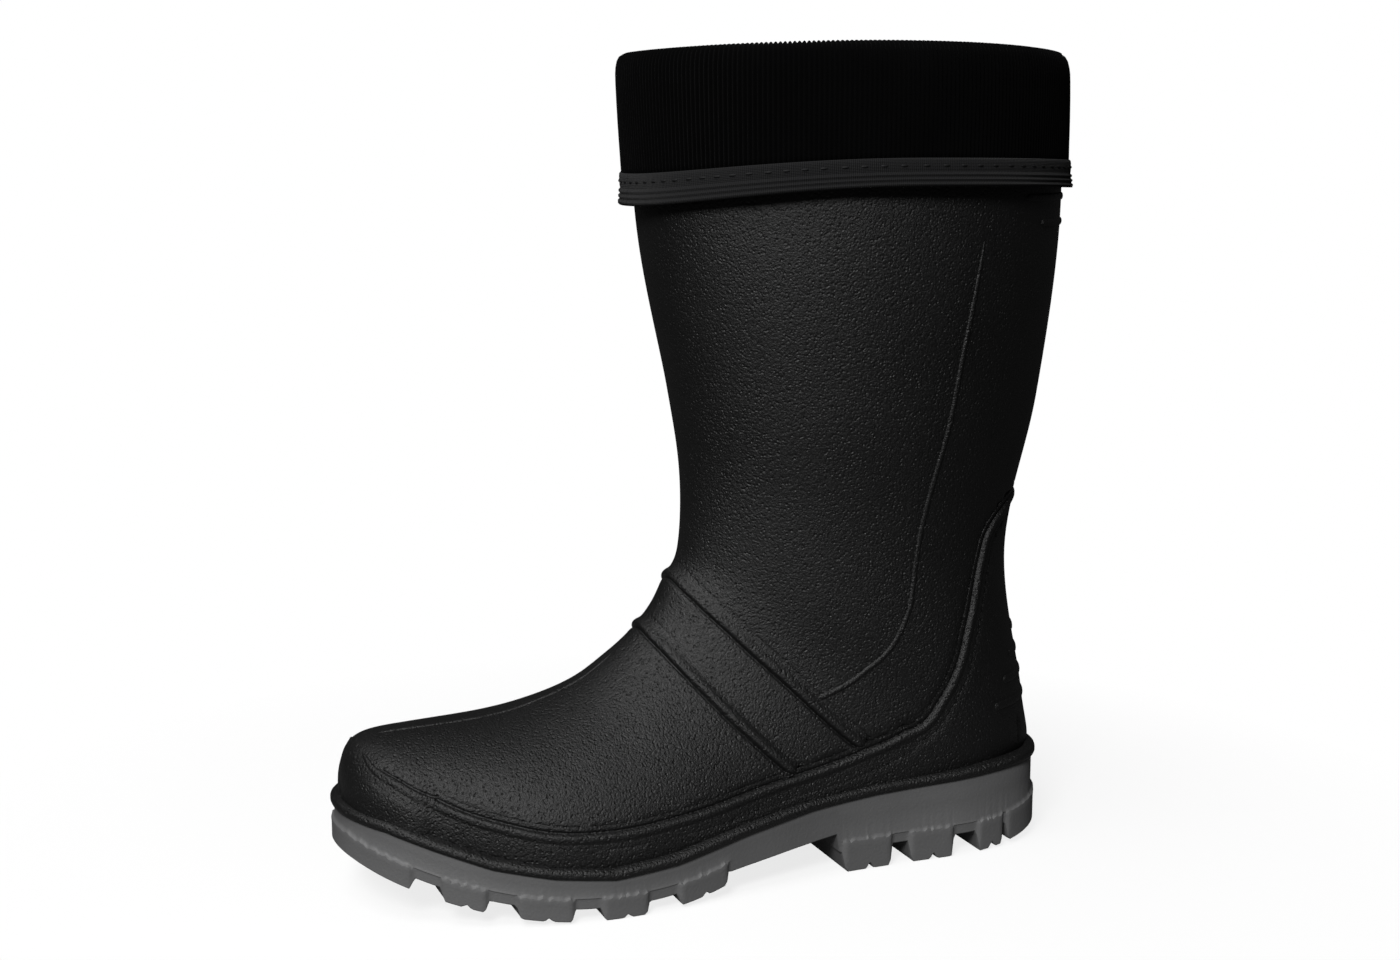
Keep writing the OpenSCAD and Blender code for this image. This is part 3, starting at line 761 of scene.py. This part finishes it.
def outsole(material):
    s, side_out, side_in = outline_sides()
    rows = len(s)
    v = np.linspace(-1, 1, ACROSS)
    middle = (side_out + side_in) / 2
    half = (side_out - side_in) / 2
    x = middle[:, None] + half[:, None] * v[None]
    s_grid = np.repeat(s[:, None], ACROSS, 1)
    mask = cleat_mask(x, s_grid)
    z = roots(s_grid) + (ground(s_grid) - roots(s_grid)) * mask
    under = np.stack([x, CENTRE_S - s_grid, z], -1)
    p, ring_s, out = sole_rim()
    ring_index = np.concatenate([
        np.arange(rows) * ACROSS + ACROSS - 1,
        (rows - 1) * ACROSS + np.arange(ACROSS - 2, 0, -1),
        np.arange(rows)[::-1] * ACROSS,
        np.arange(1, ACROSS - 1)])
    flat_under = under.reshape(-1, 3)
    edge_z = flat_under[ring_index, 2]
    proud = CLEAT_PROUD * edge_mask(ring_s)
    flat_under[ring_index, :2] = p + out * (proud - 0.35)[:, None]
    root = roots(ring_s)
    ridge = 0.35 * np.where((ring_s > 157) | (ring_s < 106), 1, 0)
    waver = 0.35 * np.sin(ring_s * 1.9) + 0.25 * np.sin(ring_s * 4.3 + 1)
    roof = root + CLEAT_ROOF + waver * (proud > 0)
    top = sole_top(ring_s)
    levels = [
        (proud, edge_z + 0.4),
        (proud, np.maximum(mix(edge_z, roof, 0.35), edge_z + 0.5)),
        (proud, np.maximum(mix(edge_z, roof, 0.75), edge_z + 0.6)),
        (proud + 0.12 * (proud > 0), roof - 0.7),
        (proud, roof - 0.1),
        (np.maximum(0.45 * proud, ridge), roof + 0.3),
        (np.maximum(0.1 * proud, 0.6 * ridge), roof + 0.8),
        (0 * proud, roof + 1.4),
        (0 * proud, mix(roof, top, 0.5) + 0.7),
        (0 * proud, top - 0.9),
        (0 * proud - 0.25, top - 0.2),
        (0 * proud - 0.8, top + 0.1),
        (0 * proud - 3.0, top + 0.1),
        (0 * proud - 3.0, root + 2.0)]
    count = len(flat_under)
    rings = [np.column_stack([p + out * o[:, None], h]) for o, h in levels]
    n = len(p)
    faces = [grid_faces(rows, ACROSS)]
    faces.append([[int(ring_index[(j + 1) % n]), int(ring_index[j]), count + j, count + (j + 1) % n]
                  for j in range(n)])
    faces.append(grid_faces(len(levels), n, count, closed=True, flip=True))
    # the hidden inner floor, from side to side
    last = count + (len(levels) - 1) * n
    mate = rows + ACROSS - 2
    floor = [[last + r, last + r + 1, last + mate + rows - 2 - r, last + mate + rows - 1 - r]
             for r in range(rows - 1)]
    floor.append([last + i for i in range(rows - 1, mate + 1)])
    floor.append([last + i for i in range(mate + rows - 1, n)] + [last])
    faces.append(floor)
    points = np.vstack([flat_under] + rings)
    make_piece("outsole_moulding", points, faces, material, "shell", ["outsole"],
               crease=38)


# ---------------------------------------------------------------- cuff
WALES = 278
WALE_DEPTH = 1.0
SKIRT_TOP = RIM_Z + 5
BINDING_TOP = SKIRT_TOP - 40
BINDING_FOOT = BINDING_TOP - 10.5
FRONT_DROP = 8.0
BACK_DROP = 2.0
SIDE_RISE = 2.6
FELT_OUT = WALL + 1
FELT_IN = FELT_OUT + 4
FELT_WANDER = 0.25
TAPE_OUT = FELT_IN + 0.8
TAPE_IN = TAPE_OUT + 1.2


def hang(angle, z):
    """The skirt hangs lower at the front and its top edge rises a little along both sides."""
    cos = np.cos(np.radians(angle))
    share = (RIM_Z - z) / (RIM_Z - BINDING_FOOT)
    low = FRONT_DROP * np.maximum(0, cos) ** 2 + BACK_DROP * np.maximum(0, -cos) ** 2
    high = SIDE_RISE * (1 - cos ** 2) * ease(RIM_Z - 4, SKIRT_TOP, z)
    return np.where(z < RIM_Z, z - low * share, z + high)


def lean(angle, z):
    """The skirt stands out at the top of the front and hugs the leg at its foot and at the back."""
    cos = np.cos(np.radians(angle))
    top = np.clip((z - BINDING_FOOT) / (SKIRT_TOP - BINDING_FOOT), 0, 1)
    front = np.maximum(0, cos) ** 2 * (3.4 * top - 4.2)
    back = np.maximum(0, -cos) ** 2 * -2.6
    return front + back


def waves(angle, z):
    """Slow unevenness of the cloth round the rim, a fraction of a millimetre."""
    r = np.radians(angle)
    fall = np.clip((SKIRT_TOP - z) / 40, 0, 1)
    slow = 0.45 * np.sin(3 * r + 0.6) + 0.3 * np.sin(7 * r + 2.1) + 0.2 * np.sin(11 * r + 4.0)
    return slow * fall


def rim_ring(profile, count, wales=0.0):
    """Points round the rim for a profile of (outwards, height), with wales where asked."""
    angles = np.arange(count) * 360 / count
    base = skin(np.zeros(count), angles)
    _, _, normal = slopes(np.zeros(count), angles)
    normal = normal.copy()
    normal[:, 2] = 0
    normal /= np.linalg.norm(normal, axis=1)[:, None]
    run = np.concatenate([[0], np.cumsum(np.linalg.norm(np.diff(
        np.vstack([base, base[:1]]), axis=0), axis=1))])
    share = run[:-1] / run[-1]
    rows = []
    weave = []
    along = 0.0
    for k, (o, z) in enumerate(profile):
        before = profile[max(k - 1, 0)]
        after = profile[min(k + 1, len(profile) - 1)]
        slope = np.array([after[0] - before[0], after[1] - before[1]], float)
        slope /= np.linalg.norm(slope)
        face = np.array([slope[1], -slope[0]])
        depth = wales * (np.abs(np.sin(np.pi * WALES * share + 0.012 * (z - 300))) ** 0.8 - 1)
        worn = waves(angles, z) + lean(angles, z) if o > 0 else 0.0
        shift_out = o + face[0] * depth + worn
        height = (hang(angles, z) if o > -5 else z) + face[1] * depth
        rows.append(np.column_stack([base[:, :2] + normal[:, :2] * shift_out[:, None], height]))
        if k:
            along += math.hypot(o - before[0], z - before[1])
        weave.append(np.column_stack([run[:-1], np.full(count, along)]))
    return np.stack(rows), np.stack(weave)


def smooth_profile(points, n):
    """A profile with n steps between its points, rounded through them."""
    table = np.array(points, float)
    return spline(table, np.linspace(0, len(table) - 1, n * (len(table) - 1) + 1)).tolist()


def ring_piece(name, visible, hidden, count, wales, material, nodes, crease=None):
    """A closed ring from a visible profile and the hidden way back to its start."""
    shown, weave = rim_ring(visible, count, wales)
    points = [shown]
    weaves = [weave]
    if hidden:
        back, back_weave = rim_ring(hidden, count, 0.0)
        points.append(back)
        weaves.append(back_weave)
    rows = np.vstack(points)
    k, n = rows.shape[:2]
    faces = [grid_faces(k, n, closed=True, flip=True)]
    last = (k - 1) * n
    faces.append([[j, (j + 1) % n, last + (j + 1) % n, last + j] for j in range(n)])
    make_piece(name, rows.reshape(-1, 3), faces, material, "liner", nodes, crease,
               np.vstack(weaves).reshape(-1, 2))


def cuff(material):
    visible = smooth_profile([
        [4.6, BINDING_TOP - 1.5], [4.7, BINDING_TOP + 6], [4.9, SKIRT_TOP - 24],
        [4.9, SKIRT_TOP - 11], [4.5, SKIRT_TOP - 5.5], [2.9, SKIRT_TOP - 1.8],
        [-0.6, SKIRT_TOP - 0.4], [-4.6, SKIRT_TOP - 0.3], [-8.0, SKIRT_TOP - 2.2],
        [-9.4, SKIRT_TOP - 6.5], [-9.8, RIM_Z - 7], [-10.6, RIM_Z - 15.5]], 2)
    hidden = [[-6.7, RIM_Z - 15.5], [-5.5, SKIRT_TOP - 7], [-4.7, SKIRT_TOP - 4],
              [0.2, SKIRT_TOP - 4], [1.2, SKIRT_TOP - 8], [1.2, BINDING_TOP - 1.5]]
    ring_piece("cuff_corduroy", visible, hidden, WALES * 6, WALE_DEPTH, material, ["cuff"])


def cuff_binding(material):
    z = BINDING_TOP - 0.2
    foot = BINDING_FOOT
    ridges = []
    for k in range(3):
        top = z - 5.2 - 1.75 * k
        out = 5.5 + 0.25 * k
        ridges += [[out - 0.15, top], [out + 0.45, top - 0.45], [out + 0.5, top - 0.95],
                   [out + 0.05, top - 1.4]]
    visible = [[1.4, z - 0.1], [4.9, z + 0.1], [5.3, z - 0.3], [5.45, z - 1.2], [5.45, z - 4.2],
               [5.35, z - 4.7]] + ridges
    visible += [[6.5, foot + 0.25], [6.1, foot - 0.1], [1.8, foot + 0.1], [1.4, foot + 0.6]]
    ring_piece("cuff_edge_binding", visible, [], 720, 0.0, material,
               ["cuff_binding"], crease=60)


STITCHES = 78


def dash(length, width, height, steps=7):
    """One rounded thread dash lying along X, its ends dipping."""
    points = []
    sides = 8
    for i in range(steps):
        t = -1 + 2 * i / (steps - 1)
        size = math.sqrt(max(0.02, 1 - t ** 4))
        for j in range(sides):
            r = 2 * math.pi * j / sides
            points.append([t * length / 2, math.cos(r) * width / 2 * size,
                           math.sin(r) * height / 2 * size - 0.25 * t * t])
    faces = [grid_faces(steps, sides, closed=True)]
    faces.append([list(range(sides)), list(range((steps - 1) * sides, steps * sides))[::-1]])
    return np.array(points), faces


def laid(template, origin, along, up):
    """A template turned so that X runs along and Z points up from the surface."""
    x = along / np.linalg.norm(along)
    z = up - x * np.dot(up, x)
    z /= np.linalg.norm(z)
    y = np.cross(z, x)
    return origin + template @ np.stack([x, y, z])


def cuff_stitches(material):
    template, faces_one = dash(3.0, 0.95, 0.8)
    z = BINDING_TOP - 2.9
    ring, _ = rim_ring([[5.5, z], [5.5, z - 1]], 720)
    points = []
    faces = []
    count = 0
    for k in range(STITCHES):
        i = int(720 * (k + 0.5) / STITCHES)
        here = ring[0, i]
        along = ring[0, (i + 2) % 720] - ring[0, i - 2]
        out = np.cross(along, [0, 0, 1.0])
        points.append(laid(template, here, along, out))
        faces += shifted(faces_one, count)
        count += len(template)
    make_piece("cuff_binding_stitches", np.vstack(points), faces, material, "liner",
               ["cuff_stitching"])


# ---------------------------------------------------------------- liner
def fuzz(points, seed, size):
    """Uneven felt: a smooth repeatable wander along the surface normal."""
    q = points * 0.11
    a = np.sin(q[:, 0] * 1.3 + seed) * np.sin(q[:, 1] * 1.7 + 2 * seed) * np.sin(q[:, 2] * 1.5)
    b = np.sin(q[:, 0] * 4.1 + 1.1) * np.sin(q[:, 1] * 3.7 + seed) * np.sin(q[:, 2] * 4.4 + 0.7)
    return size * (0.6 * a + 0.4 * b)


def felt_panel(name, us, start, stop, columns, material, node, seed):
    """A felt panel between two angles given for every u, with rounded edges."""
    us = np.asarray(us, float)
    start = np.broadcast_to(start, us.shape)
    stop = np.broadcast_to(stop, us.shape)
    t = (1 - np.cos(np.linspace(0, np.pi, columns))) / 2
    t = 0.5 * t + 0.5 * np.linspace(0, 1, columns)
    u = np.repeat(us[:, None], columns, 1)
    a = start[:, None] + (stop - start)[:, None] * t[None]
    rows = len(us)
    edge = np.minimum(np.arange(columns), np.arange(columns)[::-1])
    ends = np.minimum(np.arange(rows), np.arange(rows)[::-1])
    tuck = np.where(edge == 0, 0.9, np.where(edge == 1, 0.25, 0))[None] * np.ones((rows, 1))
    tuck = np.maximum(tuck, np.where(ends == 0, 0.9, np.where(ends == 1, 0.25, 0))[:, None])
    sheets = []
    for depth, sign in ((FELT_OUT, 1), (FELT_IN, -1)):
        p = skin(u.ravel(), a.ravel(), depth)
        normal = slopes(u.ravel(), a.ravel(), depth)[2]
        wobble = fuzz(p, seed, FELT_WANDER) - FELT_WANDER
        sheets.append(p + normal * (sign * (wobble - tuck.ravel()) * 0.8)[:, None])
    n = rows * columns
    faces = [grid_faces(rows, columns), grid_faces(rows, columns, n, flip=True)]
    border = [list(range(columns)), [r * columns + columns - 1 for r in range(rows)],
              list(range(n - 1, n - columns - 1, -1)), [r * columns for r in range(rows)][::-1]]
    loop = []
    for side in border:
        loop += side[:-1] if side[-1] != side[0] else side
    faces.append([[loop[(i + 1) % len(loop)], loop[i], loop[i] + n, loop[(i + 1) % len(loop)] + n]
                  for i in range(len(loop))])
    weave = np.column_stack([u.ravel() * 30, a.ravel()])
    make_piece(name, np.vstack(sheets), faces, material, "liner", [node], 60,
               np.vstack([weave, weave]))


def seam_tape(name, us, middle, degrees, material, thread_material, node):
    """A stitched tape along a seam: crowned across, with two rows of zigzag thread."""
    us = np.asarray(us, float)
    middle = np.broadcast_to(middle, us.shape)
    columns = 9
    t = np.linspace(-1, 1, columns)
    u = np.repeat(us[:, None], columns, 1)
    a = middle[:, None] + t[None] * degrees / 2
    crown = (1 - t ** 4) * 0.15
    top = skin(u.ravel(), a.ravel(), TAPE_IN)
    normal = slopes(u.ravel(), a.ravel(), TAPE_IN)[2]
    top = top - normal * np.tile(crown - 0.15, len(us))[:, None]
    low = skin(u.ravel(), a.ravel(), TAPE_OUT)
    n = len(us) * columns
    faces = [grid_faces(len(us), columns, flip=True), grid_faces(len(us), columns, n)]
    rows = len(us)
    loop = list(range(columns - 1)) + [r * columns + columns - 1 for r in range(rows - 1)]
    loop += list(range(n - 1, n - columns, -1)) + [r * columns for r in range(rows - 1, 0, -1)]
    faces.append([[loop[i], loop[(i + 1) % len(loop)], loop[(i + 1) % len(loop)] + n, loop[i] + n]
                  for i in range(len(loop))])
    run = np.concatenate([[0], np.cumsum(np.linalg.norm(np.diff(
        top.reshape(rows, columns, 3)[:, 4], axis=0), axis=1))])
    weave = np.column_stack([np.repeat(run, columns), np.tile(t * 4, rows)])
    make_piece(name, np.vstack([top, low]), faces, material, "liner", [node], 50,
               np.vstack([weave, weave]))
    zigzag(name + "_stitches", us, middle, degrees, run, thread_material)


def zigzag(name, us, middle, degrees, run, material):
    """Zigzag thread along both edges of a tape."""
    template, faces_one = dash(3.2, 0.7, 0.6, 5)
    points = []
    faces = []
    count = 0
    pitch = 2.6
    for side in (-1, 1):
        for k in range(int(run[-1] / pitch) - 1):
            here = (k + 0.8) * pitch
            lean = 1 if k % 2 else -1
            u0, u1 = np.interp([here - pitch / 2, here + pitch / 2], run, us)
            m0, m1 = np.interp([here - pitch / 2, here + pitch / 2], run, middle)
            a0 = m0 + side * degrees * (0.32 - 0.09 * lean)
            a1 = m1 + side * degrees * (0.32 + 0.09 * lean)
            p0 = skin(u0, a0, TAPE_IN)
            p1 = skin(u1, a1, TAPE_IN)
            normal = slopes(np.array(u0), np.array(a0), TAPE_IN)[2]
            points.append(laid(template, (p0 + p1) / 2 - normal * 0.1, p1 - p0, -normal))
            faces += shifted(faces_one, count)
            count += len(template)
    make_piece(name, np.vstack(points), faces, material, "liner", [])


ANKLE = 3
SOLE_FROM = 5.6


def edge_angle(u):
    """Angle of the edge of the felt sole."""
    return mix(178, 118, ease(SOLE_FROM - 0.1, 7, u))


def liner(felt, tape, thread_material):
    leg = np.linspace(0.25, ANKLE - 0.004, 90)
    foot = np.concatenate([np.linspace(ANKLE + 0.008, LAST, 150)[:-1],
                           LAST + np.linspace(0, 0.995, 28)])
    sole = foot[foot >= SOLE_FROM]
    gap = 0.5
    felt_panel("felt_leg_outer", leg, gap, 180 - gap, 80, felt, "liner_leg_lateral", 1.0)
    felt_panel("felt_leg_inner", leg, 180 + gap, 360 - gap, 80, felt, "liner_leg_medial", 2.3)
    felt_panel("felt_foot_outer", foot, gap, edge_angle(foot) - gap, 60, felt,
               "liner_foot_lateral", 3.1)
    felt_panel("felt_foot_inner", foot, 360 - edge_angle(foot) + gap, 360 - gap, 60, felt,
               "liner_foot_medial", 4.2)
    felt_panel("felt_sole", sole, edge_angle(sole) + gap, 360 - edge_angle(sole) - gap, 50,
               felt, "liner_sole", 5.7)
    taped = leg[leg > 0.38]
    seam_tape("leg_front_tape", taped, 0.0, 8, tape, thread_material, "leg_front_seam")
    seam_tape("leg_back_tape", taped, 180.0, 8, tape, thread_material, "leg_back_seam")
    instep = np.concatenate([np.linspace(ANKLE + 0.2, LAST, 120)[:-1],
                             LAST + np.linspace(0, 0.9, 16)])
    seam_tape("instep_tape", instep, 0.0, 8, tape, thread_material, "instep_seam")
    heel = np.linspace(ANKLE + 0.2, 5.2, 50)
    seam_tape("heel_tape", heel, 180.0, 8, tape, thread_material, "heel_seam")
    for side, word in ((-1, "inner"), (1, "outer")):
        us = np.concatenate([np.linspace(6, LAST, 110)[:-1], LAST + np.linspace(0, 0.9, 16)])
        seam_tape("sole_tape_" + word, us, side * edge_angle(us), 6, tape, thread_material,
                  "sole_seam")
    ankle_tape(tape)
    join_tape(tape)


def ankle_tape(material):
    """The tape round the joint of leg and foot felt, over the other tapes."""
    us = np.linspace(ANKLE - 0.1, ANKLE + 0.14, 9)
    n = 240
    t = np.linspace(-1, 1, 9)
    angles = np.arange(n) * 360 / n
    u, a = (g.ravel() for g in np.meshgrid(us, angles, indexing="ij"))
    crown = np.repeat((1 - t ** 4) * 0.2 - 0.2, n)
    normal = slopes(u, a, TAPE_IN)[2]
    top = skin(u, a, TAPE_IN + 1.5) - normal * crown[:, None]
    low = skin(u, a, TAPE_IN + 0.3)
    faces = [grid_faces(9, n, closed=True, flip=True), grid_faces(9, n, 9 * n, closed=True)]
    for row, flip in ((0, False), (8, True)):
        ring = [[row * n + j, row * n + (j + 1) % n, 9 * n + row * n + (j + 1) % n,
                 9 * n + row * n + j] for j in range(n)]
        faces.append([f[::-1] for f in ring] if flip else ring)
    weave = np.column_stack([a * 0.8, np.repeat(t * 3, n)])
    make_piece("ankle_tape", np.vstack([top, low]), faces, material, "liner",
               ["ankle_seam"], 50, np.vstack([weave, weave]))


def join_tape(material):
    """The tape that joins the cuff's turned-in edge to the felt."""
    out = -FELT_IN - 2
    visible = smooth_profile([[out, RIM_Z - 9], [out - 1.0, RIM_Z - 9.2], [out - 1.2, RIM_Z - 11],
                              [out - 1.2, RIM_Z - 20], [out - 1.0, RIM_Z - 21.8],
                              [out, RIM_Z - 22]], 2)
    ring_piece("cuff_join_tape", visible, [], 480, 0.0, material,
               ["cuff_join_seam"], crease=60)


# ---------------------------------------------------------------- stage, lights, camera
def stage(material):
    """A pale disc of floor under the boot."""
    centre = (cad_box[0] + cad_box[1]) / 2
    bpy.ops.mesh.primitive_circle_add(vertices=96, radius=0.6, fill_type="NGON",
                                      location=(centre.x, centre.y, -0.0002))
    floor = bpy.context.object
    floor.name = "floor"
    floor.data.materials.append(material)


def soft_light(name, where, target, size, watts):
    light = bpy.data.lights.new(name, "AREA")
    light.shape = "RECTANGLE"
    light.size, light.size_y = size
    light.energy = watts
    lamp = bpy.data.objects.new(name, light)
    lamp.location = where
    lamp.rotation_euler = (Vector(target) - Vector(where)).to_track_quat("-Z", "Y").to_euler()
    bpy.context.scene.collection.objects.link(lamp)


def lights():
    world = bpy.data.worlds.new("studio")
    bpy.context.scene.world = world
    world.use_nodes = True
    tree = world.node_tree
    background = tree.nodes["Background"]
    seen = tree.nodes.new("ShaderNodeLightPath")
    level = tree.nodes.new("ShaderNodeMapRange")
    level.inputs["To Min"].default_value = 0.035
    level.inputs["To Max"].default_value = 1.0
    tree.links.new(seen.outputs["Is Camera Ray"], level.inputs["Value"])
    tree.links.new(level.outputs["Result"], background.inputs["Strength"])
    background.inputs["Color"].default_value = (1, 1, 1, 1)
    target = (0, 0, 0.12)
    soft_light("key", (1.18, -0.86, 1.15), target, (0.5, 0.5), 33)
    soft_light("top", (0.35, -0.75, 1.6), target, (0.8, 0.8), 16)


CAMERA_AZIMUTH = 69.0
CAMERA_DISTANCE = 0.80
CAMERA_HEIGHT = 0.285
TARGET = Vector((0, -0.004, 0.154))
FOCAL_LENGTH = 52.4


def camera():
    a = math.radians(CAMERA_AZIMUTH)
    place = TARGET + Vector((CAMERA_DISTANCE * math.sin(a), -CAMERA_DISTANCE * math.cos(a), 0))
    place.z = CAMERA_HEIGHT
    data = bpy.data.cameras.new("camera")
    data.lens = FOCAL_LENGTH
    data.sensor_width = 36
    eye = bpy.data.objects.new("camera", data)
    eye.location = place
    eye.rotation_euler = (TARGET - place).to_track_quat("-Z", "Y").to_euler()
    bpy.context.scene.collection.objects.link(eye)
    bpy.context.scene.camera = eye


camera()
lights()
bpy.context.scene.view_settings.view_transform = "Standard"
stage(plain_stage())
boot_shell(shell_foam())
outsole(sole_rubber())
tape_material = woven_tape("seam_tape", (0.20, 0.19, 0.17), (0.34, 0.32, 0.29), 1.1, 0.8)
thread_dark = thread()
cuff(corduroy())
cuff_binding(woven_tape("binding_tape", (0.0025, 0.0025, 0.0027), (0.0115, 0.0115, 0.0120)))
cuff_stitches(thread_dark)
liner(liner_felt(), tape_material, thread_dark)
